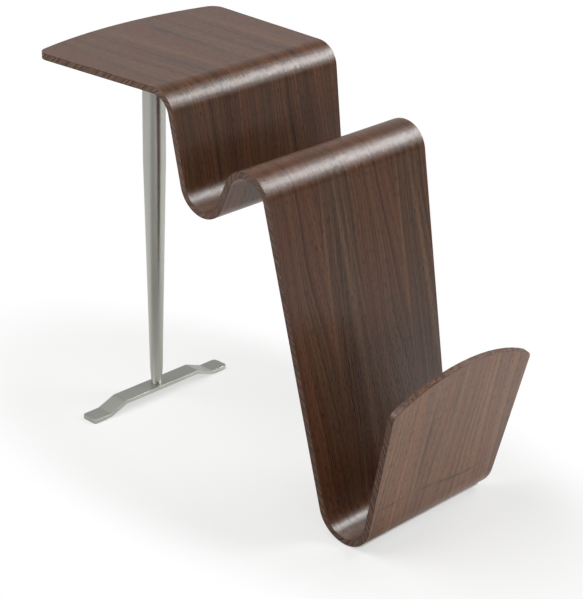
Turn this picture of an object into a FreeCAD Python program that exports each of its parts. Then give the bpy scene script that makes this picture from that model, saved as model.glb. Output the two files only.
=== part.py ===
import FreeCAD, Part
import math
import os

# Magazine table with rack. One moulded plywood sheet is folded into a table top, a trough and
# a magazine pocket. A tapered leg on a bent foot bar carries it at the table end.
# Millimetres. X runs from the table's back edge to the rack's front, Y across, Z up. The
# origin is on the floor, under the middle of the overall box.

V = FreeCAD.Vector

# Sheet build-up
face_veneer = 0.6
core_ply = 1.25
core_ply_count = 7

# Sheet profile along the middle of its thickness: straights, bend radii, and slopes in degrees
table_flat = 230.0
table_bend_radius = 34.0
upper_panel_slope = -80.0
upper_panel_length = 102.5
trough_radius = 38.0
trough_front_slope = 65.0
trough_front_length = 42.0
hump_radius = 38.0
long_panel_slope = -78.0
long_panel_length = 445.0
floor_bend_radius = 42.5
rack_front_slope = 77.0

# Sheet outline: the table in plan, the rest in front elevation, the rack front's top on its outer face
table_back_width = 355.0
table_front_width = 330.0
table_back_bulge = 24.0
table_corner_radius = 20.0
floor_width = 262.0
rack_front_height = 271.0
rack_front_bulge = 35.0
rack_corner_radius = 12.0

# Glide strip under the floor bend, spread in degrees round the bend from its lowest line
glide_thickness = 2.0
glide_back_spread = 12.0
glide_front_spread = 44.0
glide_near_gap = 2.0
glide_far_gap = 14.0

# Leg tube
leg_setback = 51.0
leg_top_diameter = 35.0
leg_ankle_diameter = 20.0
leg_foot_diameter = 16.0
leg_wall = 1.5
leg_top_straight = 180.0
leg_foot_length = 28.0

# Plate between the leg and the table, with a spigot inside the tube
plate_diameter = 84.0
plate_thickness = 4.0
spigot_length = 26.0
press_clearance = 0.05

# Wood screws through the plate into the table
plate_screw_count = 4
plate_screw_circle = 62.0
plate_screw_diameter = 4.5
plate_screw_head_diameter = 8.6
plate_screw_head_height = 2.4
plate_screw_grip = 7.0
plate_screw_tip = 2.5
cross_recess_width = 1.2
cross_recess_length = 4.4
cross_recess_depth = 1.6

# Set screw that holds the tube on the spigot, on the leg's back side
set_screw_diameter = 6.0
set_screw_length = 10.0
set_screw_socket = 3.0
set_screw_socket_depth = 3.0

# Threaded plug in the foot of the tube, and how far it ends below the ankle
plug_setback = 2.0

# Foot bar, bent from flat steel
bar_length = 284.0
bar_width = 30.0
bar_thickness = 6.0
bar_rise = 11.5
bar_pad_length = 32.0
bar_ramp_slope = 20.0
bar_bend_radius = 8.0
bar_corner_radius = 6.0

# Pads under the ends of the foot bar
pad_thickness = 1.5
pad_inset = 2.0

# Screw from below through the bar into the plug, with its lock washer
foot_screw_diameter = 8.0
foot_screw_grip = 20.0
foot_screw_head_diameter = 14.0
foot_screw_head_height = 4.4
foot_screw_socket = 5.0
foot_screw_socket_depth = 2.6
lock_washer_diameter = 14.8
lock_washer_thickness = 2.0
hole_clearance = 0.25
thread_clearance = 0.05

# How far a cutting shape runs past what it cuts
overrun = 5.0

core_thickness = core_ply * core_ply_count
sheet_thickness = core_thickness + 2 * face_veneer
half_sheet = sheet_thickness / 2
half_core = core_thickness / 2
blank_width = max(table_back_width, table_front_width, floor_width) + 2 * overrun


def in_xz(u, w):
    """Point of the sheet's side view."""
    return V(u, 0, w)


def in_yz(u, w):
    """Point of a front view."""
    return V(0, u, w)


def in_xy(u, w):
    """Point of a plan."""
    return V(u, w, 0)


def walk(path, u, w, heading):
    """Steps along a path of bends, each with its radius, the heading it reaches and a straight.

    Each step holds the bend's centre, signed radius and two headings, its end, and the straight."""
    steps = []
    at = math.radians(heading)
    for radius, target, straight in path:
        goal = math.radians(target)
        side = math.copysign(1, goal - at)
        centre_u = u - side * radius * math.sin(at)
        centre_w = w + side * radius * math.cos(at)
        bend_end_u = centre_u + side * radius * math.sin(goal)
        bend_end_w = centre_w - side * radius * math.cos(goal)
        steps.append((centre_u, centre_w, side * radius, at, goal, bend_end_u, bend_end_w, straight))
        u = bend_end_u + straight * math.cos(goal)
        w = bend_end_w + straight * math.sin(goal)
        at = goal
    return steps


def trace(steps, offset, view):
    """Edges along one side of a walked path, offset to its left."""
    edges = []
    for centre_u, centre_w, signed_radius, at, goal, end_u, end_w, straight in steps:
        if signed_radius:
            reach = signed_radius - offset
            angles = (at, (at + goal) / 2, goal)
            points = [view(centre_u + reach * math.sin(a), centre_w - reach * math.cos(a)) for a in angles]
            edges.append(Part.Arc(*points).toShape())
        if straight:
            left_u = end_u - offset * math.sin(goal)
            left_w = end_w + offset * math.cos(goal)
            far_u = left_u + straight * math.cos(goal)
            far_w = left_w + straight * math.sin(goal)
            edges.append(Part.LineSegment(view(left_u, left_w), view(far_u, far_w)).toShape())
    return edges


def band(steps, low, high, view):
    """Face between two offsets of a walked path."""
    lower = trace(steps, low, view)
    upper = trace(steps, high, view)
    start = [side[0].valueAt(side[0].FirstParameter) for side in (lower, upper)]
    end = [side[-1].valueAt(side[-1].LastParameter) for side in (lower, upper)]
    caps = [Part.LineSegment(*ends).toShape() for ends in (end, start)]
    return Part.Face(Part.Wire(lower + caps[:1] + upper[::-1] + caps[1:]))


def polygon(points):
    """Flat face with straight edges."""
    return Part.Face(Part.makePolygon(points + points[:1]))


def upright_edges(block):
    """Edges of an upright block that join its foot to its top."""
    return [edge for edge in block.Edges if edge.Vertexes[0].Z != edge.Vertexes[-1].Z]


def turned(points, axis_x):
    """Solid of revolution about an upright axis, from (radius, height) points."""
    outline = polygon([V(axis_x + radius, 0, height) for radius, height in points])
    return outline.revolve(V(axis_x, 0, 0), V(0, 0, 1), 360)


def hex_prism(across_flats, height, base):
    """Upright hexagonal prism, for a key socket."""
    corner = across_flats / math.sqrt(3)
    angles = [math.radians(60 * k) for k in range(6)]
    points = [base + V(corner * math.cos(a), corner * math.sin(a), 0) for a in angles]
    return polygon(points).extrude(V(0, 0, height))


# Where the sheet lies: the table's middle height and the overall box follow from its profile
table_reach = table_back_bulge + overrun
rack_angle = math.radians(rack_front_slope)
rack_reach = rack_front_height / math.sin(rack_angle)
sheet_path = [
    (0, 0, table_reach + table_flat),
    (table_bend_radius, upper_panel_slope, upper_panel_length),
    (trough_radius, trough_front_slope, trough_front_length),
    (hump_radius, long_panel_slope, long_panel_length),
    (floor_bend_radius, rack_front_slope, rack_reach),
]
trial = walk(sheet_path, -table_reach, 0, 0)
table_middle = glide_thickness + half_sheet + floor_bend_radius - trial[-1][1]
table_top = table_middle + half_sheet
table_under = table_middle - half_sheet

rack_outer_u = trial[-1][5] + half_sheet * math.sin(rack_angle)
rack_outer_w = trial[-1][6] + table_middle - half_sheet * math.cos(rack_angle)
front_reach = rack_outer_u + (rack_front_height - rack_outer_w) / math.tan(rack_angle)
back_chord = -(front_reach - table_back_bulge) / 2
rack_outer_x = back_chord + rack_outer_u
table_join = back_chord + table_flat
leg_x = back_chord + leg_setback

sheet_steps = walk(sheet_path, back_chord - table_reach, table_middle, 0)
floor_x = sheet_steps[-1][0]
floor_bend_height = sheet_steps[-1][1]


def half_width(height):
    """Half the sheet's width at a height, where its sides slope in front elevation."""
    return (floor_width + (table_front_width - floor_width) * height / table_under) / 2


def table_outline():
    """Upright block with the table's plan: flared sides, a bulged back edge and rounded corners."""
    front_half = table_front_width / 2
    back_half = table_back_width / 2
    left_front = in_xy(table_join, -front_half)
    left_back = in_xy(back_chord, -back_half)
    right_back = in_xy(back_chord, back_half)
    right_front = in_xy(table_join, front_half)
    edges = [
        Part.LineSegment(left_front, left_back),
        Part.Arc(left_back, in_xy(back_chord - table_back_bulge, 0), right_back),
        Part.LineSegment(right_back, right_front),
        Part.LineSegment(right_front, left_front),
    ]
    plan = Part.Face(Part.Wire([edge.toShape() for edge in edges]))
    plan.translate(V(0, 0, table_under - 2 * overrun))
    block = plan.extrude(V(0, 0, sheet_thickness + 4 * overrun))
    back_corners = [edge for edge in upright_edges(block) if edge.CenterOfMass.x < leg_x]
    return block.makeFillet(table_corner_radius, back_corners)


def sheet_outline():
    """Solid that holds what is left of the sheet once its sides are trimmed."""
    base = -2 * overrun
    shoulder = table_top + 2 * overrun
    panel = polygon([
        in_yz(-half_width(base), base),
        in_yz(half_width(base), base),
        in_yz(table_front_width / 2, table_under),
        in_yz(table_front_width / 2, shoulder),
        in_yz(-table_front_width / 2, shoulder),
        in_yz(-table_front_width / 2, table_under),
    ])
    panel.translate(V(table_join, 0, 0))
    panel = panel.extrude(V(floor_x + rack_front_height - table_join, 0, 0))
    return table_outline().fuse(panel).removeSplitter()


rack_corner_height = rack_front_height - rack_front_bulge
rack_corner_half = half_width(rack_corner_height)


def rack_point(across, height, depth):
    """Point at a height on the rack front's outer face, set back square to it."""
    outer = rack_outer_x + (height - rack_outer_w) / math.tan(rack_angle)
    return V(outer - depth * math.sin(rack_angle), across, height + depth * math.cos(rack_angle))


def rack_trim():
    """Waste above the rack front's bulged top edge, which is cut square to the sheet."""
    arc_radius = (rack_corner_half ** 2 + rack_front_bulge ** 2) / (2 * rack_front_bulge)
    reach = rack_corner_half + overrun
    low = rack_front_height - arc_radius + math.sqrt(arc_radius ** 2 - reach ** 2)
    front = -2 * overrun
    back = sheet_thickness + 2 * overrun
    left = rack_point(-reach, low, front)
    crown = rack_point(0, rack_front_height, front)
    right = rack_point(reach, low, front)
    right_top = rack_point(blank_width, rack_front_height + rack_reach, front)
    left_top = rack_point(-blank_width, rack_front_height + rack_reach, front)
    edges = [
        Part.Arc(left, crown, right),
        Part.LineSegment(right, right_top),
        Part.LineSegment(right_top, left_top),
        Part.LineSegment(left_top, left),
    ]
    waste = Part.Face(Part.Wire([edge.toShape() for edge in edges]))
    return waste.extrude(rack_point(0, 0, back) - rack_point(0, 0, front))


def at_rack_corner(edge):
    """Whether an edge runs through the blank at one of the rack front's top corners."""
    reach = sheet_thickness + 2 * overrun
    for side in (-1, 1):
        middle = rack_point(side * rack_corner_half, rack_corner_height, half_sheet)
        if all(end.Point.distanceToPoint(middle) < reach for end in edge.Vertexes):
            return True
    return False


def blank(low, high):
    """Untrimmed sheet between two offsets from its middle."""
    layer = band(sheet_steps, low, high, in_xz)
    layer.translate(V(0, -blank_width / 2, 0))
    return layer.extrude(V(0, blank_width, 0))


def trimmed_blank():
    """Sheet that is too thick by the overrun on both faces, trimmed to its outline all round."""
    sheet = blank(-half_sheet - overrun, half_sheet + overrun)
    sheet = sheet.common(sheet_outline()).cut(rack_trim())
    return sheet.makeFillet(rack_corner_radius, [edge for edge in sheet.Edges if at_rack_corner(edge)])


def plate_screw_places():
    """Centres of the plate's screws, at the table's underside."""
    radius = plate_screw_circle / 2
    angles = [math.radians(360 * (k + 1 / 2) / plate_screw_count) for k in range(plate_screw_count)]
    return [V(leg_x + radius * math.cos(a), radius * math.sin(a), table_under) for a in angles]


def plate_screw_holes():
    """Holes that the plate's screws make in the table."""
    radius = plate_screw_diameter / 2
    shank_length = plate_screw_grip - plate_screw_tip
    holes = []
    for place in plate_screw_places():
        shank = Part.makeCylinder(radius, shank_length + overrun, place - V(0, 0, overrun))
        tip = Part.makeCone(radius, 0, plate_screw_tip, place + V(0, 0, shank_length))
        holes.append(shank.fuse(tip))
    return holes


def glide_strip():
    """Strip stuck round the underside of the floor bend."""
    start = math.radians(-glide_back_spread)
    start_u = floor_x + floor_bend_radius * math.sin(start)
    start_w = floor_bend_height - floor_bend_radius * math.cos(start)
    steps = walk([(floor_bend_radius, glide_front_spread, 0)], start_u, start_w, -glide_back_spread)
    section = band(steps, -half_sheet - glide_thickness, -half_sheet, in_xz)
    near = -floor_width / 2 + glide_near_gap
    far = floor_width / 2 - glide_far_gap
    section.translate(V(0, near, 0))
    return section.extrude(V(0, far - near, 0))


# Heights down the leg
plate_under = table_under - plate_thickness
bar_under = pad_thickness + bar_rise
bar_top = bar_under + bar_thickness
leg_top_radius = leg_top_diameter / 2
leg_ankle_radius = leg_ankle_diameter / 2
leg_foot_radius = leg_foot_diameter / 2
spigot_radius = leg_top_radius - leg_wall - press_clearance
foot_screw_radius = foot_screw_diameter / 2
set_screw_height = plate_under - spigot_length / 2


def set_screw_axis(radius, length):
    """Round bar along the set screw, from the leg's outer face inwards."""
    return Part.makeCylinder(radius, length, V(leg_x - leg_top_radius, 0, set_screw_height), V(1, 0, 0))


def leg_tube():
    """Tube that tapers from the plate to its ankle, and faster from there to the foot."""
    taper_top = plate_under - leg_top_straight
    ankle = bar_top + leg_foot_length
    outer = [(leg_top_radius, plate_under), (leg_top_radius, taper_top),
             (leg_ankle_radius, ankle), (leg_foot_radius, bar_top)]
    inner = [(radius - leg_wall, height) for radius, height in reversed(outer)]
    tube = turned(outer + inner, leg_x)
    hole = set_screw_axis(set_screw_diameter / 2 + hole_clearance, leg_wall + overrun)
    hole.translate(V(-overrun, 0, 0))
    return tube.cut(hole)


def plate_screw_body(place, clearance):
    """Countersunk wood screw without its recess, its head flush with the plate's underside."""
    shank_radius = plate_screw_diameter / 2 + clearance
    head_radius = plate_screw_head_diameter / 2 + clearance
    bottom = -plate_thickness
    shank_top = plate_screw_grip - plate_screw_tip
    body = turned([(0, bottom), (head_radius, bottom), (shank_radius, bottom + plate_screw_head_height),
                   (shank_radius, shank_top), (0, plate_screw_grip)], 0)
    body.translate(place)
    return body


def leg_top_plate():
    """Round plate with a spigot, countersunk for the wood screws and tapped for the set screw."""
    plate = turned([(0, table_under), (plate_diameter / 2, table_under), (plate_diameter / 2, plate_under),
                    (spigot_radius, plate_under), (spigot_radius, plate_under - spigot_length),
                    (0, plate_under - spigot_length)], leg_x)
    for place in plate_screw_places():
        plate = plate.cut(plate_screw_body(place, thread_clearance))
    return plate.cut(set_screw_axis(set_screw_diameter / 2 + thread_clearance, set_screw_length + leg_wall))


def plate_screws():
    """The wood screws, each with a cross recess."""
    arm = (cross_recess_length, cross_recess_width)
    screws = []
    for place in plate_screw_places():
        screw = plate_screw_body(place, 0)
        bottom = place - V(0, 0, plate_thickness + overrun)
        for length, width in (arm, arm[::-1]):
            corner = bottom - V(length / 2, width / 2, 0)
            screw = screw.cut(Part.makeBox(length, width, overrun + cross_recess_depth, corner))
        screws.append(screw)
    return Part.makeCompound(screws)


def leg_set_screw():
    """Headless screw with a key socket in its outer end."""
    screw = set_screw_axis(set_screw_diameter / 2, set_screw_length)
    socket = hex_prism(set_screw_socket, set_screw_socket_depth + overrun, V(0, 0, -overrun))
    socket.rotate(V(0, 0, 0), V(0, 1, 0), 90)
    socket.translate(V(leg_x - leg_top_radius, 0, set_screw_height))
    return screw.cut(socket)


def leg_foot_plug():
    """Cone in the foot of the tube, tapped for the foot screw that draws it tight."""
    hole_radius = foot_screw_radius + thread_clearance
    low_radius = leg_foot_radius - leg_wall - press_clearance
    plug_length = leg_foot_length - plug_setback
    flare = (leg_ankle_radius - leg_foot_radius) / leg_foot_length
    top = bar_top + plug_length
    return turned([(hole_radius, bar_top), (low_radius, bar_top), (low_radius + flare * plug_length, top),
                   (hole_radius, top)], leg_x)


def rounded_block(width, length, radius, middle, height):
    """Upright block with rounded corners in plan, standing on its middle point."""
    block = Part.makeBox(width, length, height, middle - V(width / 2, length / 2, 0))
    return block.makeFillet(radius, upright_edges(block))


def foot_bar():
    """Flat bar with its ends on the floor and its middle raised, bored for the foot screw."""
    slope = math.radians(bar_ramp_slope)
    bend_rise = 2 * bar_bend_radius * (1 - math.cos(slope))
    bend_run = bar_bend_radius * math.sin(slope)
    ramp = (bar_rise - bend_rise) / math.sin(slope)
    middle = bar_length - 2 * (bar_pad_length + 2 * bend_run + ramp * math.cos(slope))
    path = [
        (0, 0, bar_pad_length),
        (bar_bend_radius, bar_ramp_slope, ramp),
        (bar_bend_radius, 0, middle),
        (bar_bend_radius, -bar_ramp_slope, ramp),
        (bar_bend_radius, 0, bar_pad_length),
    ]
    half_bar = bar_thickness / 2
    steps = walk(path, -bar_length / 2, pad_thickness + half_bar, 0)
    bar = band(steps, -half_bar, half_bar, in_yz)
    bar.translate(V(leg_x - bar_width / 2, 0, 0))
    bar = bar.extrude(V(bar_width, 0, 0))
    plan_foot = V(leg_x, 0, -overrun)
    plan = rounded_block(bar_width, bar_length, bar_corner_radius, plan_foot, bar_top + 2 * overrun)
    hole = Part.makeCylinder(foot_screw_radius + hole_clearance, bar_top, V(leg_x, 0, 0))
    return bar.common(plan).cut(hole)


def foot_pads():
    """Pads stuck under the bar's two ends."""
    width = bar_width - 2 * pad_inset
    length = bar_pad_length - 2 * pad_inset
    place = bar_length / 2 - bar_pad_length / 2
    radius = bar_corner_radius - pad_inset
    return Part.makeCompound([
        rounded_block(width, length, radius, V(leg_x, side * place, 0), pad_thickness) for side in (-1, 1)
    ])


def foot_screw():
    """Button-head screw from below, with a key socket."""
    washer_under = bar_under - lock_washer_thickness
    tip = bar_top + foot_screw_grip
    radius = foot_screw_head_diameter / 2
    low = washer_under - foot_screw_head_height
    dome_radius = (radius ** 2 + foot_screw_head_height ** 2) / (2 * foot_screw_head_height)
    half_angle = math.asin(radius / dome_radius) / 2
    dome_centre = V(leg_x, 0, low + dome_radius)
    shoulder = dome_centre + V(math.sin(half_angle), 0, -math.cos(half_angle)) * dome_radius
    edges = [
        Part.Arc(V(leg_x, 0, low), shoulder, V(leg_x + radius, 0, washer_under)),
        Part.LineSegment(V(leg_x + radius, 0, washer_under), V(leg_x, 0, washer_under)),
        Part.LineSegment(V(leg_x, 0, washer_under), V(leg_x, 0, low)),
    ]
    dome = Part.Face(Part.Wire([edge.toShape() for edge in edges]))
    head = dome.revolve(V(leg_x, 0, 0), V(0, 0, 1), 360)
    shank = Part.makeCylinder(foot_screw_radius, tip - washer_under, V(leg_x, 0, washer_under))
    socket = hex_prism(foot_screw_socket, overrun + foot_screw_socket_depth, V(leg_x, 0, low - overrun))
    return head.fuse(shank).removeSplitter().cut(socket)


def foot_lock_washer():
    """Washer between the screw's head and the bar."""
    inner = foot_screw_radius + hole_clearance
    outer = lock_washer_diameter / 2
    low = bar_under - lock_washer_thickness
    return turned([(inner, low), (outer, low), (outer, bar_under), (inner, bar_under)], leg_x)


def build():
    """Every piece by its name."""
    sheet = trimmed_blank()
    holes = plate_screw_holes()
    return {
        "upper_face_veneer": blank(half_core, half_sheet).common(sheet),
        "plywood_core": blank(-half_core, half_core).common(sheet).cut(holes),
        "lower_face_veneer": blank(-half_sheet, -half_core).common(sheet).cut(holes),
        "floor_glide_strip": glide_strip(),
        "leg_top_plate": leg_top_plate(),
        "plate_screws": plate_screws(),
        "leg_tube": leg_tube(),
        "leg_set_screw": leg_set_screw(),
        "leg_foot_plug": leg_foot_plug(),
        "foot_bar": foot_bar(),
        "foot_screw": foot_screw(),
        "foot_lock_washer": foot_lock_washer(),
        "foot_pads": foot_pads(),
    }


os.makedirs("parts", exist_ok=True)
for name, shape in build().items():
    shape.exportStep("parts/" + name + ".step")
    box = shape.BoundBox
    print(name, len(shape.Solids), "solids, valid", shape.isValid(), "volume", round(shape.Volume, 1),
          "X", round(box.XMin, 2), round(box.XMax, 2), "Y", round(box.YMin, 2), round(box.YMax, 2),
          "Z", round(box.ZMin, 2), round(box.ZMax, 2))
print("table top", round(table_top, 2), "leg axis", round(leg_x, 2), "floor bend", round(floor_x, 2))
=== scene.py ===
# %% [markdown]
# # A magazine table with a rack
# The real table is one sheet of moulded plywood, pressed in a heated mould so that it runs from
# the table top through a shallow trough and over a hump down to the floor, and up again as the
# front of a magazine pocket. A tapered metal leg on a bent foot bar carries the other end.
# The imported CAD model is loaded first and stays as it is. Everything made here is placed by it,
# in metres, with +X from the table's back edge to the rack's front and +Z up.

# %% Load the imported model
import math

import bmesh
import bpy
from mathutils import Matrix, Vector


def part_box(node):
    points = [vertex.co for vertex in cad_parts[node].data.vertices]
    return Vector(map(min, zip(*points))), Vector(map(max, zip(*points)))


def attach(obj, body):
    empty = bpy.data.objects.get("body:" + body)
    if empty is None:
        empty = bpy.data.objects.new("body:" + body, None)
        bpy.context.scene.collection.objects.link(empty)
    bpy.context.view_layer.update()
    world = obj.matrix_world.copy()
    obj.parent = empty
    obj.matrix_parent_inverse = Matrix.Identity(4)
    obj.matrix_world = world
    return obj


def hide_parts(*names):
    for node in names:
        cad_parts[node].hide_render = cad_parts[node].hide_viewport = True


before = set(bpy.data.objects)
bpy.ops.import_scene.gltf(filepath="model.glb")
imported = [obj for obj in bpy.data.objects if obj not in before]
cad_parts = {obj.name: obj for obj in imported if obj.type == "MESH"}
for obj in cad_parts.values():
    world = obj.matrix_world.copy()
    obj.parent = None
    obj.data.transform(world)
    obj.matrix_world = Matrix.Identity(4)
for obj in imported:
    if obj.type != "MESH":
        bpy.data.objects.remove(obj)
scene = bpy.context.scene
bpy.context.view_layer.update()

# %% [markdown]
# ## Camera
# The photograph was taken from above and to one side, with a long lens: the sheet's two long edges
# hardly converge. The place, the three turns and the focal length below were solved from edges
# that can be followed in the picture, so the render falls on the photograph without any shift.

# %% Camera
photo_height = 599
focal_pixels = 2057.8
camera_spot = Vector((1.88755, -1.97427, 1.47228))
camera_yaw = math.radians(43.475)
camera_pitch = math.radians(24.076)
camera_roll = math.radians(1.155)

camera = bpy.data.objects.new("camera", bpy.data.cameras.new("camera"))
scene.collection.objects.link(camera)
scene.camera = camera
camera.data.lens = focal_pixels * camera.data.sensor_width / photo_height
camera.matrix_world = (
    Matrix.Translation(camera_spot)
    @ Matrix.Rotation(camera_yaw, 4, "Z")
    @ Matrix.Rotation(math.pi / 2 - camera_pitch, 4, "X")
    @ Matrix.Rotation(camera_roll, 4, "Z")
)
scene.view_settings.view_transform = "Standard"
print("lens", round(camera.data.lens, 2), "mm")

# %% [markdown]
# ## Helpers for finishes
# Every finish is a small network of nodes. Three helpers keep them short to read: one turns a colour
# written as sRGB hex, the way a paint program shows it, into the linear numbers that a shader
# needs, one adds a node with its settings and its links, and one starts a material.


# %% Helpers for finishes
def linear(hex_colour):
    """Linear RGBA of an sRGB hex colour."""
    shares = [int(hex_colour[k:k + 2], 16) / 255 for k in (1, 3, 5)]
    return [s / 12.92 if s <= 0.04045 else ((s + 0.055) / 1.055) ** 2.4 for s in shares] + [1.0]


def add_node(tree, kind, inputs=None, **settings):
    """A new node. Inputs are linked where a socket is given, and set where a value is given."""
    made = tree.nodes.new(kind)
    for name, value in settings.items():
        setattr(made, name, value)
    for key, value in (inputs or {}).items():
        if isinstance(value, bpy.types.NodeSocket):
            tree.links.new(value, made.inputs[key])
        else:
            made.inputs[key].default_value = value
    return made


def new_finish(name, **sockets):
    """A material with its node tree and its main shader, whose plain values are set by name."""
    material = bpy.data.materials.new(name)
    material.use_nodes = True
    shader = material.node_tree.nodes["Principled BSDF"]
    for socket, value in sockets.items():
        shader.inputs[socket.replace("_", " ").title().replace("Ior", "IOR")].default_value = value
    return material, material.node_tree, shader


# %% [markdown]
# ## Studio
# The object stands on a white paper sweep. A wide lamp hangs overhead and to the left, and a low
# one in front and to the right fills the panels that face it. A softbox stands behind and to the
# right: it makes the long pale highlights that run across the bends. A real softbox is brighter
# in its middle, so it is built here from a wide lamp with a smaller one in front of it.
# The world is white to the camera. To reflections it is dark, apart from a backdrop behind the
# table: its mirror image greys the flat top, and beside it the wood keeps its red.

# %% World
world = bpy.data.worlds.new("studio")
scene.world = world
world.use_nodes = True
sky = world.node_tree
sky.nodes.clear()
ambient_level = 0.03
dim_level = 0.05
backdrop_level = 0.52
backdrop_side = (-0.69, 0.72, 0.0)
backdrop_rim = 0.62
backdrop_full = 0.93
pure_white = (1, 1, 1, 1)

rays = add_node(sky, "ShaderNodeLightPath")
direction = add_node(sky, "ShaderNodeTexCoord").outputs["Generated"]
towards = add_node(sky, "ShaderNodeVectorMath", {0: direction, 1: backdrop_side}, operation="DOT_PRODUCT")
level = add_node(sky, "ShaderNodeMapRange", {
    "Value": towards.outputs["Value"], "From Min": backdrop_rim, "From Max": backdrop_full,
    "To Min": dim_level, "To Max": backdrop_level}, interpolation_type="SMOOTHSTEP")
ambient = add_node(sky, "ShaderNodeBackground", {"Color": pure_white, "Strength": ambient_level})
mirrored = add_node(sky, "ShaderNodeBackground", {
    "Color": pure_white, "Strength": level.outputs["Result"]})
white = add_node(sky, "ShaderNodeBackground", {"Color": pure_white, "Strength": 1.0})
sharp = add_node(sky, "ShaderNodeMath", {
    0: rays.outputs["Is Glossy Ray"], 1: rays.outputs["Is Transmission Ray"]}, operation="MAXIMUM")
unseen = add_node(sky, "ShaderNodeMixShader", {
    0: sharp.outputs[0], 1: ambient.outputs[0], 2: mirrored.outputs[0]})
seen = add_node(sky, "ShaderNodeMixShader", {
    0: rays.outputs["Is Camera Ray"], 1: unseen.outputs[0], 2: white.outputs[0]})
add_node(sky, "ShaderNodeOutputWorld", {"Surface": seen.outputs[0]})
print("world: ambient", ambient_level, "backdrop", backdrop_level)

# %% [markdown]
# The sweep is paper on the floor. In front of the leg, where the photographer stands, the floor is
# darker to everything but the camera: the camera never looks there, but the leg mirrors it and shows a
# dark middle between two pale sides. To the camera the paper is a pale pool with a light shadow, and
# it grows into pure white all round, which is how a cut-out catalogue picture ends. Inside the pool the
# glow stays a little below white, as painted shade round the object. Lacquer and metal mirror that
# white too, but only half of it close by and a third of it further off.

# %% Floor
floor_reach = 9.0
paper_colour = "#e4e4e2"
paper_roughness = 0.9
# The darker patch and the pale pool are ovals. Where each is full and where it ends is in its half sizes,
# and where the mirrored share changes is in the pool's.
dark_patch_colour = "#aaaaa8"
dark_patch_centre = (0.24, -0.74, 0.0)
dark_patch_turn = (0.0, 0.0, math.radians(-55))
dark_patch_half = (0.80, 0.45, 1.0)
dark_patch_full = 0.8
dark_patch_none = 1.35
pool_half = (0.62, 0.29, 1.0)
pool_full = 0.75
pool_none = 1.2
# Inside the pool the glow is a little below white: painted shade round the object.
pool_glow_painted_shade = 0.91
pool_share = 0.68
mirror_near_share = 0.5
mirror_far_share = 0.35
mirror_near = 2.0
mirror_far = 4.0

paper, tree, shader = new_finish("white_paper_sweep", roughness=paper_roughness)
rays = add_node(tree, "ShaderNodeLightPath")
place = add_node(tree, "ShaderNodeTexCoord").outputs["Object"]
dark_patch = add_node(tree, "ShaderNodeMapping", {
    "Vector": place, "Location": dark_patch_centre, "Rotation": dark_patch_turn,
    "Scale": dark_patch_half}, vector_type="TEXTURE")
dark_patch = add_node(tree, "ShaderNodeVectorMath", {0: dark_patch.outputs[0]}, operation="LENGTH")
dark_patch = add_node(tree, "ShaderNodeMapRange", {
    "Value": dark_patch.outputs["Value"], "From Min": dark_patch_none,
    "From Max": dark_patch_full}, interpolation_type="SMOOTHSTEP")
dark_patch = add_node(tree, "ShaderNodeMath", {
    0: dark_patch.outputs["Result"], 1: rays.outputs["Is Camera Ray"]}, operation="SUBTRACT", use_clamp=True)
colour = add_node(tree, "ShaderNodeMix", {
    0: dark_patch.outputs[0], 6: linear(paper_colour), 7: linear(dark_patch_colour)}, data_type="RGBA")
tree.links.new(colour.outputs[2], shader.inputs["Base Color"])
pool = add_node(tree, "ShaderNodeVectorMath", {0: place, 1: pool_half}, operation="DIVIDE")
pool = add_node(tree, "ShaderNodeVectorMath", {0: pool.outputs[0]}, operation="LENGTH")
# The glow's strength is lower inside the pool, which paints shade round the object.
share, strength = [
    add_node(tree, "ShaderNodeMapRange", {
        "Value": pool.outputs["Value"], "From Min": pool_full, "From Max": pool_none,
        "To Min": least}, interpolation_type="SMOOTHSTEP").outputs["Result"]
    for least in (pool_share, pool_glow_painted_shade)]
mirrored = add_node(tree, "ShaderNodeMath", {
    0: rays.outputs["Is Glossy Ray"], 1: rays.outputs["Is Transmission Ray"]}, operation="MAXIMUM")
mirror_share = add_node(tree, "ShaderNodeMapRange", {
    "Value": pool.outputs["Value"], "From Min": mirror_near, "From Max": mirror_far,
    "To Min": mirror_near_share, "To Max": mirror_far_share}, interpolation_type="SMOOTHSTEP")
mirrored = add_node(tree, "ShaderNodeMath", {
    0: mirrored.outputs[0], 1: mirror_share.outputs["Result"]}, operation="MULTIPLY")
seen = add_node(tree, "ShaderNodeMath", {
    0: rays.outputs["Is Camera Ray"], 1: mirrored.outputs[0]}, operation="MAXIMUM")
share = add_node(tree, "ShaderNodeMath", {0: share, 1: seen.outputs[0]}, operation="MULTIPLY")
share = add_node(tree, "ShaderNodeMath", {
    0: share.outputs[0], 1: dark_patch.outputs[0]}, operation="SUBTRACT", use_clamp=True)
glow = add_node(tree, "ShaderNodeEmission", {"Color": pure_white, "Strength": strength})
blend = add_node(tree, "ShaderNodeMixShader", {
    0: share.outputs[0], 1: shader.outputs[0], 2: glow.outputs[0]})
tree.links.new(blend.outputs[0], tree.nodes["Material Output"].inputs["Surface"])

bm = bmesh.new()
bmesh.ops.create_grid(bm, x_segments=1, y_segments=1, size=floor_reach)
mesh = bpy.data.meshes.new("floor")
bm.to_mesh(mesh)
bm.free()
mesh.materials.append(paper)
floor = bpy.data.objects.new("floor", mesh)
scene.collection.objects.link(floor)
pool_reach = [round(half * pool_none, 2) for half in pool_half[:2]]
print("floor", 2 * floor_reach, "m across, white beyond", pool_reach)

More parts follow.
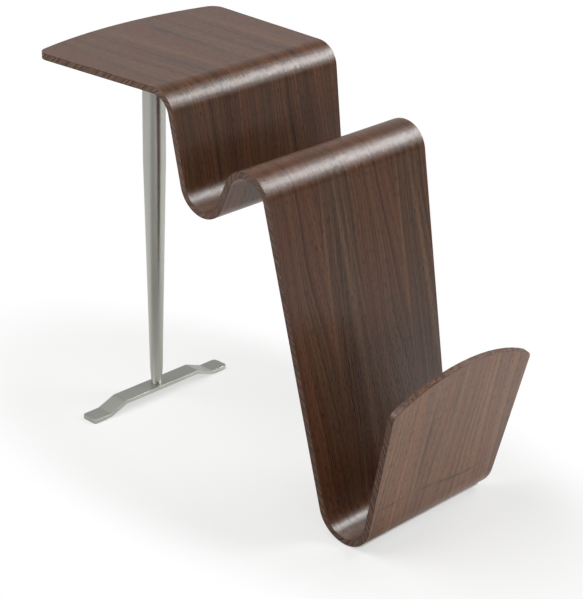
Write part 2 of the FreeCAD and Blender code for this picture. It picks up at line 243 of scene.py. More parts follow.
# %% Lamps
lamp_target = Vector((0.0, 0.0, 0.35))
softbox_side = Vector((0.357, 0.68, 0.64))
lamps = {
    # direction from the object, distance, width, height, watts
    "softbox": (softbox_side, 1.9, 1.6, 1.4, 18.0),
    "softbox_core": (softbox_side, 1.88, 0.8, 0.65, 16.5),
    "overhead": (Vector((-0.25, -0.50, 0.83)), 2.4, 2.2, 2.2, 75.0),
    "fill": (Vector((0.97, -0.22, 0.02)), 2.2, 1.4, 0.7, 10.5),
}
for name, (side, reach, width, height, watts) in lamps.items():
    data = bpy.data.lights.new(name, "AREA")
    data.shape = "RECTANGLE"
    data.size = width
    data.size_y = height
    data.energy = watts
    lamp = bpy.data.objects.new(name, data)
    scene.collection.objects.link(lamp)
    lamp.location = lamp_target + side.normalized() * reach
    lamp.rotation_euler = side.to_track_quat("Z", "Y").to_euler()
    print(name, watts, "W at", [round(part, 2) for part in lamp.location])

# %% [markdown]
# ## Path of the sheet
# The sheet is drawn as a designer would: straights, bend radii and the slope that each bend
# reaches, along the middle of its thickness. Its place comes from the CAD model's boxes.

# %% Path of the sheet
face_veneer = 0.0006
core_ply = 0.00125
core_plies = 7
sheet_thickness = 2 * face_veneer + core_plies * core_ply

table_flat = 0.230
table_back_bulge = 0.024
table_back_half = 0.355 / 2
table_front_half = 0.330 / 2
floor_half = 0.262 / 2
rack_front_height = 0.271
rack_front_bulge = 0.035
table_corner_radius = 0.020
rack_corner_radius = 0.012

# Each bend has its radius, the slope that it reaches in degrees and the straight after it. The last
# straight is cut to length by the rack front's outline.
table_bend = (0.034, -80, 0.1025)
trough = (0.038, 65, 0.042)
hump = (0.038, -78, 0.445)
floor_bend = (0.0425, 77, 0.26)
sheet_bends = [table_bend, trough, hump, floor_bend]

back_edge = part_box("upper_face_veneer")[0].x
table_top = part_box("upper_face_veneer")[1].z
table_middle = table_top - sheet_thickness / 2
table_under = table_top - sheet_thickness
back_chord = back_edge + table_back_bulge
table_join = back_chord + table_flat
sheet_start = back_chord - 2 * table_back_bulge

rack_begin = table_join - sheet_start
slope = 0
for radius, target, straight in sheet_bends:
    rack_begin += radius * math.radians(abs(target - slope)) + straight
    slope = target
rack_begin -= floor_bend[2]
long_panel = hump[2]
long_begin = rack_begin - floor_bend[0] * math.radians(floor_bend[1] - hump[1]) - long_panel
print("rack front begins", round(rack_begin, 4), "m along the sheet")

# %% [markdown]
# ## Walnut veneer
# The faces are sliced walnut, about 0.6 mm thick, glued so that the grain runs along the folded
# sheet and round its bends. A pattern in plain space would cut through the bends like a saw, so
# the mesh carries a number called along, the length walked over the sheet, and the grain is
# drawn on that and on the place across the sheet. The eye sees broad bands of brown, thin streaks
# inside them, a change between red and grey brown, short open pores, a few dark mineral marks, and a
# thin dark line across the rack front just above its bend.
# The upper face is laid from leaves cut from one block, side by side, so its figure repeats across
# the sheet, and on the long panel the lines and pale bands of each leaf fan out downwards.
# Real pores are about a third as wide as these, and would be too fine to show at this size.
# The lacquer on top is a clear coat with a colourless highlight. All the shine is left to it, so
# the wood below stays a deep brown wherever no lamp is mirrored.

# %% Sizes of the grain
wander_cell = (0.10, 0.32)
wander_reach = 0.018
grain_cells = {
    # width across the grain, length along it, octaves, low and high end of what is used
    "band": (0.020, 1.20, 2.0, 0.38, 0.62),
    "streak": (0.0050, 1.10, 2.0, 0.44, 0.70),
    "line": (0.0017, 0.50, 2.0, 0.36, 0.64),
    "tone": (0.024, 0.50, 1.0, 0.38, 0.62),
    "pore": (0.0010, 0.0110, 1.0, 0.51, 0.65),
}
grain_shares = {"band": 0.22, "streak": 0.34, "line": 0.44}
grain_crispness = 0.55
seed_step = 10
print("grain from", grain_cells["pore"][0] * 1000, "to", grain_cells["tone"][0] * 1000, "mm wide")

# %% Leaves of the upper face
leaf_start = -0.07
leaf_width = 0.155
# On the long panel lines lean and spread by these shares per metre.
fan_lean = 0.07
grain_spread = 1.5
band_spread = 3.6
band_colour = "#71543d"
band_fade_in = 0.10
leaf_bands = [
    # place across the leaf, half width, strength
    (0.009, 0.0040, 0.55),
    (0.022, 0.0025, 0.35),
    (0.036, 0.0055, 0.60),
    (0.047, 0.0025, 0.35),
]


def fanned(tree, across, along, spread):
    """Place across a leaf of veneer, whose lines spread apart on their way down the long panel."""
    leaf = add_node(tree, "ShaderNodeMath", {0: across, 1: leaf_start}, operation="SUBTRACT")
    leaf = add_node(tree, "ShaderNodeMath", {0: leaf.outputs[0], 1: leaf_width, 2: 0.0}, operation="WRAP")
    down = add_node(tree, "ShaderNodeMapRange", {
        "Value": along, "From Min": long_begin, "From Max": long_begin + long_panel,
        "To Max": long_panel}).outputs["Result"]
    shifted = add_node(tree, "ShaderNodeMath", {
        0: down, 1: fan_lean, 2: leaf.outputs[0]}, operation="MULTIPLY_ADD")
    wider = add_node(tree, "ShaderNodeMath", {0: down, 1: spread, 2: 1.0}, operation="MULTIPLY_ADD")
    return add_node(tree, "ShaderNodeMath", {
        0: shifted.outputs[0], 1: wider.outputs[0]}, operation="DIVIDE").outputs[0]


def add_pale_bands(tree, brown, across, along):
    """The brown with each leaf's pale bands, which begin at the hump."""
    in_leaf = fanned(tree, across, along, band_spread)
    begun = add_node(tree, "ShaderNodeMapRange", {
        "Value": along, "From Min": long_begin - band_fade_in,
        "From Max": long_begin + band_fade_in}, interpolation_type="SMOOTHSTEP")
    for at, half, strength in leaf_bands:
        band = add_node(tree, "ShaderNodeMath", {0: in_leaf, 1: at}, operation="SUBTRACT")
        band = add_node(tree, "ShaderNodeMath", {0: band.outputs[0]}, operation="ABSOLUTE")
        band = add_node(tree, "ShaderNodeMapRange", {
            "Value": band.outputs[0], "From Min": half, "From Max": 0.0,
            "To Max": strength}, interpolation_type="SMOOTHSTEP")
        band = add_node(tree, "ShaderNodeMath", {
            0: band.outputs["Result"], 1: begun.outputs["Result"]}, operation="MULTIPLY")
        brown = add_node(tree, "ShaderNodeMix", {
            0: band.outputs[0], 6: brown, 7: linear(band_colour)}, data_type="RGBA").outputs[2]
    return brown


print("leaves", leaf_width * 1000, "mm wide with", len(leaf_bands), "pale bands each")

# %% Dark marks
mark_least = 0.6


def add_dark_marks(tree, brown, flat, streak, pit, marks):
    """The brown with dark patches, each broken by the streaks.

    A mark has its place across and along, its half width and half length, and its strength."""
    for at_across, at_along, half_across, half_along, strength in marks:
        spot = add_node(tree, "ShaderNodeVectorMath", {
            0: flat, 1: (1 / half_across, 1 / half_along, 1),
            2: (-at_across / half_across, -at_along / half_along, 0)}, operation="MULTIPLY_ADD")
        spot = add_node(tree, "ShaderNodeVectorMath", {0: spot.outputs[0]}, operation="LENGTH")
        spot = add_node(tree, "ShaderNodeMapRange", {
            "Value": spot.outputs["Value"], "From Min": 1.0, "From Max": 0.0,
            "To Max": strength}, interpolation_type="SMOOTHSTEP")
        broken = add_node(tree, "ShaderNodeMapRange", {"Value": streak, "To Min": mark_least})
        spot = add_node(tree, "ShaderNodeMath", {
            0: spot.outputs["Result"], 1: broken.outputs["Result"]}, operation="MULTIPLY")
        brown = add_node(tree, "ShaderNodeMix", {
            0: spot.outputs[0], 6: brown, 7: pit}, data_type="RGBA").outputs[2]
    return brown


table_marks = [
    (0.024, 0.095, 0.010, 0.060, 0.8),
    (0.025, 0.165, 0.006, 0.055, 0.8),
    (-0.125, 0.045, 0.006, 0.050, 0.5),
]
rack_marks = [
    (-0.053, rack_begin + 0.130, 0.006, 0.110, 0.8),
    (-0.010, rack_begin + 0.180, 0.005, 0.080, 0.7),
    (0.060, rack_begin + 0.110, 0.005, 0.090, 0.5),
    # The last five draw a thin dark line across the rack front, just above its bend.
    (-0.105, rack_begin + 0.0365, 0.050, 0.0030, 0.6),
    (-0.022, rack_begin + 0.0355, 0.024, 0.0034, 0.9),
    (0.008, rack_begin + 0.0310, 0.024, 0.0034, 1.0),
    (0.034, rack_begin + 0.0272, 0.024, 0.0034, 1.0),
    (0.066, rack_begin + 0.0252, 0.030, 0.0032, 0.9),
]
print(len(table_marks), "marks on the table and", len(rack_marks), "on the rack front")

# %% Walnut
lacquer_roughness = 0.28
lacquer_ior = 1.55
hue_share = 0.30
pore_share = 0.60
pore_depth = 0.0005
line_height = 0.04
grain_bump = 0.26
smooth_wood = 0.40
rough_wood = 0.48


def walnut(name, colours, lacquer, seed, marks, in_leaves):
    """Sliced walnut under satin lacquer, from its pale, dark, red, grey and darkest brown."""
    material, tree, shader = new_finish(
        name, specular_ior_level=0.0, coat_weight=lacquer,
        coat_roughness=lacquer_roughness, coat_ior=lacquer_ior)
    space = add_node(tree, "ShaderNodeTexCoord").outputs["Object"]
    across = add_node(tree, "ShaderNodeSeparateXYZ", {"Vector": space}).outputs["Y"]
    along = add_node(tree, "ShaderNodeAttribute", attribute_name="along").outputs["Fac"]
    flat = add_node(tree, "ShaderNodeCombineXYZ", {"X": across, "Y": along, "Z": 0.0}).outputs[0]

    slow = add_node(tree, "ShaderNodeVectorMath", {
        0: flat, 1: (1 / wander_cell[0], 1 / wander_cell[1], 1), 2: (0, 0, seed)}, operation="MULTIPLY_ADD")
    wander = add_node(tree, "ShaderNodeTexNoise", {"Vector": slow.outputs[0], "Scale": 1.0, "Detail": 1.0})
    wander = add_node(tree, "ShaderNodeMapRange", {
        "Value": wander.outputs["Fac"], "To Min": -wander_reach, "To Max": wander_reach})
    bent = fanned(tree, across, along, grain_spread) if in_leaves else across
    bent = add_node(tree, "ShaderNodeMath", {0: bent, 1: wander.outputs["Result"]}, operation="ADD")
    bent = add_node(tree, "ShaderNodeCombineXYZ", {"X": bent.outputs[0], "Y": along, "Z": 0.0}).outputs[0]
    grain = {}
    for depth, (cell, (width, length, octaves, low, high)) in enumerate(grain_cells.items()):
        point = add_node(tree, "ShaderNodeVectorMath", {
            0: bent, 1: (1 / width, 1 / length, 1),
            2: (0, 0, seed + seed_step * depth)}, operation="MULTIPLY_ADD")
        noise = add_node(tree, "ShaderNodeTexNoise", {
            "Vector": point.outputs[0], "Scale": 1.0, "Detail": octaves, "Roughness": grain_crispness})
        grain[cell] = add_node(tree, "ShaderNodeMapRange", {
            "Value": noise.outputs["Fac"], "From Min": low, "From Max": high}).outputs["Result"]

    shade = 0.0
    for cell, share in grain_shares.items():
        shade = add_node(tree, "ShaderNodeMath", {
            0: grain[cell], 1: share, 2: shade}, operation="MULTIPLY_ADD").outputs[0]
    pale, dark, red, grey, pit = [linear(colour) for colour in colours]
    brown = add_node(tree, "ShaderNodeMix", {0: shade, 6: dark, 7: pale}, data_type="RGBA").outputs[2]
    hue = add_node(tree, "ShaderNodeMix", {0: grain["tone"], 6: red, 7: grey}, data_type="RGBA").outputs[2]
    brown = add_node(tree, "ShaderNodeMix", {0: hue_share, 6: brown, 7: hue}, data_type="RGBA").outputs[2]
    if in_leaves:
        brown = add_pale_bands(tree, brown, across, along)
    brown = add_dark_marks(tree, brown, flat, grain["streak"], pit, marks)
    pores = add_node(tree, "ShaderNodeMath", {0: grain["pore"], 1: pore_share}, operation="MULTIPLY")
    brown = add_node(tree, "ShaderNodeMix", {
        0: pores.outputs[0], 6: brown, 7: pit}, data_type="RGBA").outputs[2]
    tree.links.new(brown, shader.inputs["Base Color"])

    rough = add_node(tree, "ShaderNodeMapRange", {
        "Value": grain["line"], "To Min": smooth_wood, "To Max": rough_wood})
    tree.links.new(rough.outputs["Result"], shader.inputs["Roughness"])
    height = add_node(tree, "ShaderNodeMath", {
        0: grain["line"], 1: line_height, 2: grain["pore"]}, operation="MULTIPLY_ADD")
    bump = add_node(tree, "ShaderNodeBump", {
        "Height": height.outputs[0], "Strength": grain_bump, "Distance": pore_depth}, invert=True)
    tree.links.new(bump.outputs[0], shader.inputs["Normal"])
    tree.links.new(bump.outputs[0], shader.inputs["Coat Normal"])
    return material


# %% Walnut of the two faces
upper_browns = ("#745137", "#25120a", "#5a2a1d", "#4c3625", "#120905")
lower_browns = ("#a77653", "#412317", "#814733", "#76543e", "#170d09")
walnut_upper = walnut("walnut_sliced_satin_upper", upper_browns,
                      lacquer=1.0, seed=0.0, marks=table_marks, in_leaves=True)
walnut_lower = walnut("walnut_sliced_satin_lower", lower_browns,
                      lacquer=0.85, seed=37.0, marks=rack_marks, in_leaves=False)
print("walnut", len(walnut_upper.node_tree.nodes), "and", len(walnut_lower.node_tree.nodes), "nodes")

# %% [markdown]
# ## Edges of the plies
# Along every edge the seven core plies show. Their grain turns by a right angle from ply to ply,
# so one shows long fibres, which take the stain as pale lines, and the next shows cut ends, which
# drink it and go dark. Along the sides the saw leaves slanted marks over all of them: every ply
# counts its length along the sheet from a start of its own, so that one pattern leans over the edge.
# The two curved ends are sanded, so the marks fade where the edge no longer faces sideways. Fibres
# and saw marks are drawn coarser than real ones, which would be too fine to show.

# %% Ply edges
cross_fibre = 0.0030
long_fibre = 0.0070
fibre_octaves = 3.0
fibre_crispness = 0.7
saw_mark = 0.0042
saw_share = 0.75
saw_slant = 1.2
stain_low = 0.42
stain_high = 0.58
edge_ior = 1.5
edge_roughness = 0.42
edge_bump = 0.2
edge_depth = 0.0001


def ply_edge(name, pale, dark, fibre, seed):
    """Stained edge of a ply, with marks of the given length along the edge and slanted saw marks."""
    material, tree, shader = new_finish(name, ior=edge_ior, roughness=edge_roughness)
    space = add_node(tree, "ShaderNodeTexCoord").outputs["Object"]
    across = add_node(tree, "ShaderNodeSeparateXYZ", {"Vector": space}).outputs["Y"]
    along = add_node(tree, "ShaderNodeAttribute", attribute_name="along").outputs["Fac"]
    lengths = add_node(tree, "ShaderNodeCombineXYZ", {"X": along, "Y": across, "Z": 0.0}).outputs[0]
    point = add_node(tree, "ShaderNodeVectorMath", {
        0: lengths, 1: (1 / fibre, 1 / fibre, 1), 2: (0, 0, seed)}, operation="MULTIPLY_ADD")
    mark = add_node(tree, "ShaderNodeTexNoise", {
        "Vector": point.outputs[0], "Scale": 1.0, "Detail": fibre_octaves, "Roughness": fibre_crispness})
    walked = add_node(tree, "ShaderNodeMath", {0: along, 1: across}, operation="ADD")
    stroke = add_node(tree, "ShaderNodeMath", {0: walked.outputs[0], 1: saw_mark}, operation="DIVIDE")
    stroke = add_node(tree, "ShaderNodeTexNoise", {
        "W": stroke.outputs[0], "Scale": 1.0, "Detail": 1.0}, noise_dimensions="1D")
    facing = add_node(tree, "ShaderNodeNewGeometry").outputs["Normal"]
    facing = add_node(tree, "ShaderNodeSeparateXYZ", {"Vector": facing}).outputs["Y"]
    sawn = add_node(tree, "ShaderNodeMath", {0: facing, 1: facing}, operation="MULTIPLY")
    sawn = add_node(tree, "ShaderNodeMath", {0: sawn.outputs[0], 1: saw_share}, operation="MULTIPLY")
    mark = add_node(tree, "ShaderNodeMix", {
        0: sawn.outputs[0], 2: mark.outputs["Fac"], 3: stroke.outputs["Fac"]})
    mark = add_node(tree, "ShaderNodeMapRange", {
        "Value": mark.outputs[0], "From Min": stain_low, "From Max": stain_high})
    brown = add_node(tree, "ShaderNodeMix", {
        0: mark.outputs["Result"], 6: linear(dark), 7: linear(pale)}, data_type="RGBA")
    tree.links.new(brown.outputs[2], shader.inputs["Base Color"])
    bump = add_node(tree, "ShaderNodeBump", {
        "Height": mark.outputs["Result"], "Strength": edge_bump, "Distance": edge_depth})
    tree.links.new(bump.outputs[0], shader.inputs["Normal"])
    return material


ply_cross = ply_edge("plywood_cut_ends_stained", "#5e4030", "#150c08", cross_fibre, seed=3.0)
ply_long = ply_edge("plywood_long_fibre_stained", "#86604b", "#382318", long_fibre, seed=9.0)
veneer_edge = ply_edge("walnut_veneer_edge", "#74523f", "#3a2217", long_fibre, seed=15.0)
print("ply edges with saw marks", saw_mark * 1000, "mm wide")

# %% [markdown]
# ## The folded sheet
# A moulded sheet is a stack of thin layers that all follow one path. Each layer is made here as
# a strip of faces at its own distance from the middle of the sheet: an edge across the table is
# extruded along the straights and spun round the bends, and each new row notes how far it lies
# along the sheet. A Solidify modifier then gives the strip its thickness, and a fine
# Bevel breaks the arris, as a sanding block does.

# %% Strips
bend_step = math.radians(2.5)


def half_width(spot):
    """Half the sheet's width: the table flares towards its back, the rest narrows downwards."""
    if spot.x < table_join:
        return table_front_half + (table_back_half - table_front_half) * (table_join - spot.x) / table_flat
    return floor_half + (table_front_half - floor_half) * min(1, spot.z / table_under)


def extend(bm, edge, step, gain):
    """Extrudes a strip's last edge by a step, with that gain of length along it."""
    along = bm.verts.layers.float["along"]
    made = bmesh.ops.extrude_edge_only(bm, edges=[edge])["geom"]
    corners = [part for part in made if isinstance(part, bmesh.types.BMVert)]
    bmesh.ops.translate(bm, verts=corners, vec=step)
    for corner in corners:
        corner[along] = edge.verts[0][along] + gain
    return next(part for part in made
                if isinstance(part, bmesh.types.BMEdge) and set(part.verts) == set(corners))


def turn(bm, edge, centre, angle, gain):
    """Spins a strip's last edge round a line across the strip, with that gain of length."""
    along = bm.verts.layers.float["along"]
    start = edge.verts[0][along]
    rows = max(1, round(abs(angle) / bend_step))
    for row in range(rows):
        made = bmesh.ops.spin(bm, geom=edge.verts[:] + [edge], cent=centre, axis=(0, -1, 0),
                              angle=angle / rows, steps=1)["geom_last"]
        edge = next(part for part in made if isinstance(part, bmesh.types.BMEdge))
        for corner in edge.verts:
            corner[along] = start + gain * (row + 1) / rows
    return edge


def strip(start, half, straight, bends, offset, lead=0.0):
    """Strip along a path of bends, each with its radius, the slope it reaches and its straight.

    The strip lies at an offset above the path's middle, and its sides stand half its width from it.
    Its length along is counted from the lead."""
    bm = bmesh.new()
    along = bm.verts.layers.float.new("along")
    ends = [bm.verts.new(start + Vector((0, side * half, offset))) for side in (-1, 1)]
    for end in ends:
        end[along] = lead
    edge = bm.edges.new(ends)
    slope = 0.0
    edge = extend(bm, edge, Vector((straight, 0, 0)), straight)
    for radius, target, straight in bends:
        goal = math.radians(target)
        upward = Vector((-math.sin(slope), 0, math.cos(slope)))
        reach = math.copysign(radius, goal - slope) - offset
        middle = (edge.verts[0].co + edge.verts[1].co) / 2
        edge = turn(bm, edge, middle + upward * reach, goal - slope, radius * abs(goal - slope))
        edge = extend(bm, edge, Vector((math.cos(goal), 0, math.sin(goal))) * straight, straight)
        slope = goal
    return bm


# %% Where the rack's front lies
rack_slope = math.radians(floor_bend[1])
rack_rise = Vector((math.cos(rack_slope), 0, math.sin(rack_slope)))
rack_out = Vector((math.sin(rack_slope), 0, -math.cos(rack_slope)))
lower_low, lower_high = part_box("lower_face_veneer")
bend_reach = floor_bend[0] + sheet_thickness / 2
bend_end_height = lower_low.z + bend_reach + rack_out.z * bend_reach
rack_top = Vector((lower_high.x, 0, rack_front_height))
rack_foot = rack_top - rack_rise * ((rack_front_height - bend_end_height) / math.sin(rack_slope))
for end, spot in (("foot", rack_foot), ("top", rack_top)):
    print("rack front's", end, "at", [round(part, 4) for part in spot])

# %% Trimming the ends
crown_cuts = 15
corner_rows = 10


def shave(bm, faces, spot, outward):
    """Cuts away what these faces have beyond a plane."""
    geom = set(faces)
    for face in faces:
        geom.update(face.verts)
        geom.update(face.edges)
    bmesh.ops.bisect_plane(bm, geom=list(geom), plane_co=spot, plane_no=outward, clear_outer=True)


def round_corners(bm, corners, offset):
    """Rounds corners of a strip, each with an arc that starts at an offset from it."""
    bmesh.ops.bevel(bm, geom=corners, offset=offset, offset_type="OFFSET",
                    affect="VERTICES", segments=corner_rows, profile=0.5, material=-1)


def crown(bm, in_part, top, outward, half, bulge, corner_radius):
    """Cuts a bulged end with planes that touch its arc, then rounds the end's two corners.

    In_part says which faces belong to the end, and half and bulge give the arc's chord."""
    radius = (half ** 2 + bulge ** 2) / (2 * bulge)
    centre = top - outward * radius
    span = math.asin(half / radius)
    for cut in range(crown_cuts):
        angle = span * (2 * cut + 1 - crown_cuts) / crown_cuts
        side = outward * math.cos(angle) + Vector((0, math.sin(angle), 0))
        shave(bm, [face for face in bm.faces if in_part(face)], centre + side * radius, side)
    verts = {vert for face in bm.faces if in_part(face) for vert in face.verts}
    corners = [min(verts, key=lambda vert: vert.co.y), max(verts, key=lambda vert: vert.co.y)]
    first, second = [edge.other_vert(corners[0]).co - corners[0].co for edge in corners[0].link_edges][:2]
    bend = math.pi - first.angle(second)
    round_corners(bm, corners, corner_radius * math.tan(bend / 2))


def sheet_strip(offset, lead=0.0):
    """One layer of the sheet, trimmed to its outline."""
    start = Vector((sheet_start, 0, table_middle))
    bm = strip(start, table_front_half, table_join - sheet_start, sheet_bends, offset, lead)
    for vert in bm.verts:
        vert.co.y = math.copysign(half_width(vert.co), vert.co.y)
    crown(bm, lambda face: face.calc_center_median().x < table_join,
          Vector((back_edge, 0, table_middle)), Vector((-1, 0, 0)), table_back_half, table_back_bulge,
          table_corner_radius)
    rack_half = half_width(Vector((rack_top.x, 0, rack_front_height - rack_front_bulge)))
    crown(bm, lambda face: face.calc_center_median().x > rack_foot.x, rack_top, rack_rise,
          rack_half, rack_front_bulge / math.sin(rack_slope), rack_corner_radius)
    return bm


# %% Layers of the sheet
def make_piece(name, bm, materials, node):
    """An object from a bmesh, standing for a CAD node."""
    mesh = bpy.data.meshes.new(name)
    bm.to_mesh(mesh)
    bm.free()
    for material in materials:
        mesh.materials.append(material)
    mesh.shade_smooth()
    piece = bpy.data.objects.new(name, mesh)
    scene.collection.objects.link(piece)
    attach(piece, "root")
    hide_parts(node)
    return piece


arris_rows = 2
arris_angle = math.radians(50)
large_faces_first = 100


def thicken(piece, thickness, arris):
    """Gives a strip its thickness and breaks its edges."""
    wall = piece.modifiers.new("thickness", "SOLIDIFY")
    wall.thickness = thickness
    wall.offset = 0.0
    wall.use_even_offset = True
    wall.material_offset_rim = len(piece.data.materials) - 1
    edge = piece.modifiers.new("arris", "BEVEL")
    edge.width = arris
    edge.segments = arris_rows
    edge.limit_method = "ANGLE"
    edge.angle_limit = arris_angle
    edge.material = -1
    normals = piece.modifiers.new("even_shading", "WEIGHTED_NORMAL")
    normals.weight = large_faces_first


veneer_offset = sheet_thickness / 2 - face_veneer / 2
veneer_arris = 0.00025
ply_arris = 0.00012
for name, offset, finish in (
        ("upper_face_veneer", veneer_offset, walnut_upper),
        ("lower_face_veneer", -veneer_offset, walnut_lower)):
    veneer = make_piece("walnut_" + name, sheet_strip(offset), [finish, veneer_edge], name)
    thicken(veneer, face_veneer, veneer_arris)
    print(veneer.name, len(veneer.data.polygons), "faces before its thickness")

for count in range(core_plies):
    offset = (count - (core_plies - 1) / 2) * core_ply
    finish = ply_long if count % 2 else ply_cross
    ply = make_piece(f"core_ply_{count + 1}", sheet_strip(offset, -saw_slant * offset), [finish],
                     "plywood_core")
    thicken(ply, core_ply, ply_arris)
print(core_plies, "core plies of", core_ply * 1000, "mm")

# %% [markdown]
# ## Satin nickel
# The leg and its bar are steel, brushed and plated with nickel, which looks like a warm grey mirror
# that is a little blurred. The leg's nickel is given a darker colour than the bar's: painted shade,
# which dims what the leg mirrors. Brushing leaves fine lines, which only vary the roughness here. They
# are drawn 0.6 mm wide, coarser than real ones, or they would be too fine to show.

# %% Satin nickel
brush_grit = 0.0006
brush_low = 0.3
brush_high = 0.7
brush_change = 0.02
cloud_size = 0.06
cloud_dullness = 0.9


def satin_metal(name, colour, roughness, grit, stretch):
    """Brushed and plated metal, with scratches of a width, drawn out along one axis."""
    material, tree, shader = new_finish(name, metallic=1.0)
    space = add_node(tree, "ShaderNodeTexCoord").outputs["Object"]
    point = add_node(tree, "ShaderNodeVectorMath", {
        0: space, 1: [share / grit for share in stretch]}, operation="MULTIPLY")
    brush = add_node(tree, "ShaderNodeTexNoise", {"Vector": point.outputs[0], "Scale": 1.0, "Detail": 2.0})
    cloud = add_node(tree, "ShaderNodeTexNoise", {"Vector": space, "Scale": 1 / cloud_size, "Detail": 2.0})
    pale = linear(colour)
    dull = [part * cloud_dullness for part in pale[:3]] + [1.0]
    tint = add_node(tree, "ShaderNodeMix", {0: cloud.outputs["Fac"], 6: dull, 7: pale}, data_type="RGBA")
    tree.links.new(tint.outputs[2], shader.inputs["Base Color"])
    rough = add_node(tree, "ShaderNodeMapRange", {
        "Value": brush.outputs["Fac"], "From Min": brush_low, "From Max": brush_high,
        "To Min": roughness - brush_change, "To Max": roughness + brush_change})
    tree.links.new(rough.outputs["Result"], shader.inputs["Roughness"])
    return material


# The leg's colour is darker than the bar's: painted shade on the same nickel.
nickel_leg_painted_shade = satin_metal("steel_brushed_satin_nickel_leg_painted_shade", "#b9b9b2", roughness=0.30,
                         grit=brush_grit, stretch=(0.15, 0.15, 1))
nickel_bar = satin_metal("steel_brushed_satin_nickel_bar", "#cecec7", roughness=0.42,
                         grit=brush_grit, stretch=(1, 0.1, 1))
print("nickel with lines", brush_grit * 1000, "mm wide")

# %% [markdown]
# ## Leg tube
# The tube runs straight down from the plate, tapers, and narrows once more just above the bar. A
# spun outline gives it a rounder wall than the CAD mesh, and small breaks at both ends catch light.

# %% Leg tube
tube_low, tube_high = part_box("leg_tube")
leg_axis = Vector(((tube_low.x + tube_high.x) / 2, 0, 0))
leg_top_radius = (tube_high.x - tube_low.x) / 2
leg_ankle_radius = 0.010
leg_foot_radius = 0.008
leg_wall = 0.0015
leg_top_straight = 0.180
leg_foot_length = 0.028
leg_break = 0.0004
leg_sharp_angle = math.radians(30)
spin_steps = 96
weld_distance = 1e-6


def spun(outline, axis):
    """Closed outline of (radius, height) points, spun once round an upright axis."""
    bm = bmesh.new()
    verts = [bm.verts.new(axis + Vector((radius, 0, height))) for radius, height in outline]
    edges = [bm.edges.new((verts[k - 1], verts[k])) for k in range(len(verts))]
    bmesh.ops.spin(bm, geom=verts + edges, cent=axis, axis=(0, 0, 1), angle=2 * math.pi,
                   steps=spin_steps, use_merge=True)
    bmesh.ops.remove_doubles(bm, verts=bm.verts[:], dist=weld_distance)
    bmesh.ops.recalc_face_normals(bm, faces=bm.faces[:])
    return bm


outer = [
    (leg_top_radius - leg_break, tube_high.z),
    (leg_top_radius, tube_high.z - leg_break),
    (leg_top_radius, tube_high.z - leg_top_straight),
    (leg_ankle_radius, tube_low.z + leg_foot_length),
    (leg_foot_radius, tube_low.z + leg_break),
    (leg_foot_radius - leg_break, tube_low.z),
]
inner = [
    (leg_foot_radius - leg_wall, tube_low.z),
    (leg_ankle_radius - leg_wall, tube_low.z + leg_foot_length),
    (leg_top_radius - leg_wall, tube_high.z - leg_top_straight),
    (leg_top_radius - leg_wall, tube_high.z),
]
leg = make_piece("tapered_leg_tube", spun(outer + inner, leg_axis), [nickel_leg_painted_shade], "leg_tube")
leg.data.set_sharp_from_angle(angle=leg_sharp_angle)
print(leg.name, len(leg.data.polygons), "faces")

# %% [markdown]
# ## Foot bar
# Flat steel, bent so that its two ends lie on the floor and its middle clears it. It is a strip
# with bends, like the sheet, so the same functions make it, turned a quarter so that it runs
# across the table. Its four corners are rounded and its edges are broken more than the sheet's.

# %% Foot bar
bar_low, bar_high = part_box("foot_bar")
bar_thickness = 0.006
bar_pad = 0.032
bar_ramp = math.radians(20)
bar_bend_radius = 0.008
bar_corner_radius = 0.006
bar_break = 0.0005
bar_length = bar_high.y - bar_low.y
bar_half_width = (bar_high.x - bar_low.x) / 2
bar_rise = bar_high.z - bar_low.z - bar_thickness
ramp = (bar_rise - 2 * bar_bend_radius * (1 - math.cos(bar_ramp))) / math.sin(bar_ramp)
bar_run = 2 * bar_bend_radius * math.sin(bar_ramp) + ramp * math.cos(bar_ramp)
bar_middle = bar_length - 2 * (bar_pad + bar_run)
bar_bends = [
    (bar_bend_radius, math.degrees(bar_ramp), ramp),
    (bar_bend_radius, 0, bar_middle),
    (bar_bend_radius, -math.degrees(bar_ramp), ramp),
    (bar_bend_radius, 0, bar_pad),
]
bar_start = Vector((-bar_length / 2, 0, bar_low.z + bar_thickness / 2))
bm = strip(bar_start, bar_half_width, bar_pad, bar_bends, offset=0.0)
round_corners(bm, [vert for vert in bm.verts if len(vert.link_faces) == 1], bar_corner_radius)
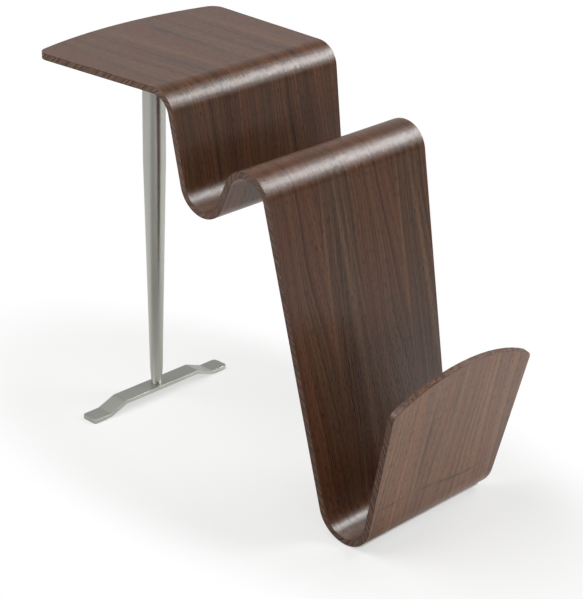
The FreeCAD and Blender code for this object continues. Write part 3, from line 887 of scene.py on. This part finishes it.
bmesh.ops.rotate(bm, verts=bm.verts[:], cent=(0, 0, 0), matrix=Matrix.Rotation(math.pi / 2, 3, "Z"))
bmesh.ops.translate(bm, verts=bm.verts[:], vec=leg_axis)
bar = make_piece("bent_foot_bar", bm, [nickel_bar], "foot_bar")
thicken(bar, bar_thickness, bar_break)
print(bar.name, "ramps", round(ramp * 1000, 2), "mm long")

# %% [markdown]
# ## Small pieces
# The plate, the screws, the pads and the glide strip are mostly hidden, and their CAD shapes are right,
# so they only get a finish. Its grain is drawn coarser than real grain, which would be too fine to show.

# %% Finishes of the small pieces
speck_octaves = 3.0
speck_bump = 0.15
speck_depth = 0.0001


def speckled(name, colours, grain, **sockets):
    """A finish whose colour varies a little in grains of a given size."""
    material, tree, shader = new_finish(name, **sockets)
    space = add_node(tree, "ShaderNodeTexCoord").outputs["Object"]
    speck = add_node(tree, "ShaderNodeTexNoise", {
        "Vector": space, "Scale": 1 / grain, "Detail": speck_octaves})
    tint = add_node(tree, "ShaderNodeMix", {
        0: speck.outputs["Fac"], 6: linear(colours[0]), 7: linear(colours[1])}, data_type="RGBA")
    tree.links.new(tint.outputs[2], shader.inputs["Base Color"])
    bump = add_node(tree, "ShaderNodeBump", {
        "Height": speck.outputs["Fac"], "Strength": speck_bump, "Distance": speck_depth})
    tree.links.new(bump.outputs[0], shader.inputs["Normal"])
    return material


zinc = speckled("steel_zinc_plated", ("#b4b8bb", "#cfd2d4"), grain=0.0015, metallic=1.0, roughness=0.36)
rubber = speckled("rubber_moulded_matt", ("#2b2b2b", "#3a3a39"), grain=0.0008, roughness=0.85)
glide = speckled("polyethylene_extruded_white", ("#eef3ec", "#fafbf8"), grain=0.002, roughness=0.5)
small_finishes = {
    "leg_top_plate": nickel_bar,
    "plate_screws": zinc,
    "leg_set_screw": zinc,
    "leg_foot_plug": zinc,
    "foot_screw": zinc,
    "foot_lock_washer": zinc,
    "foot_pads": rubber,
    "floor_glide_strip": glide,
}
for node, finish in small_finishes.items():
    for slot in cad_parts[node].material_slots:
        slot.material = finish
print(len(small_finishes), "CAD pieces finished")
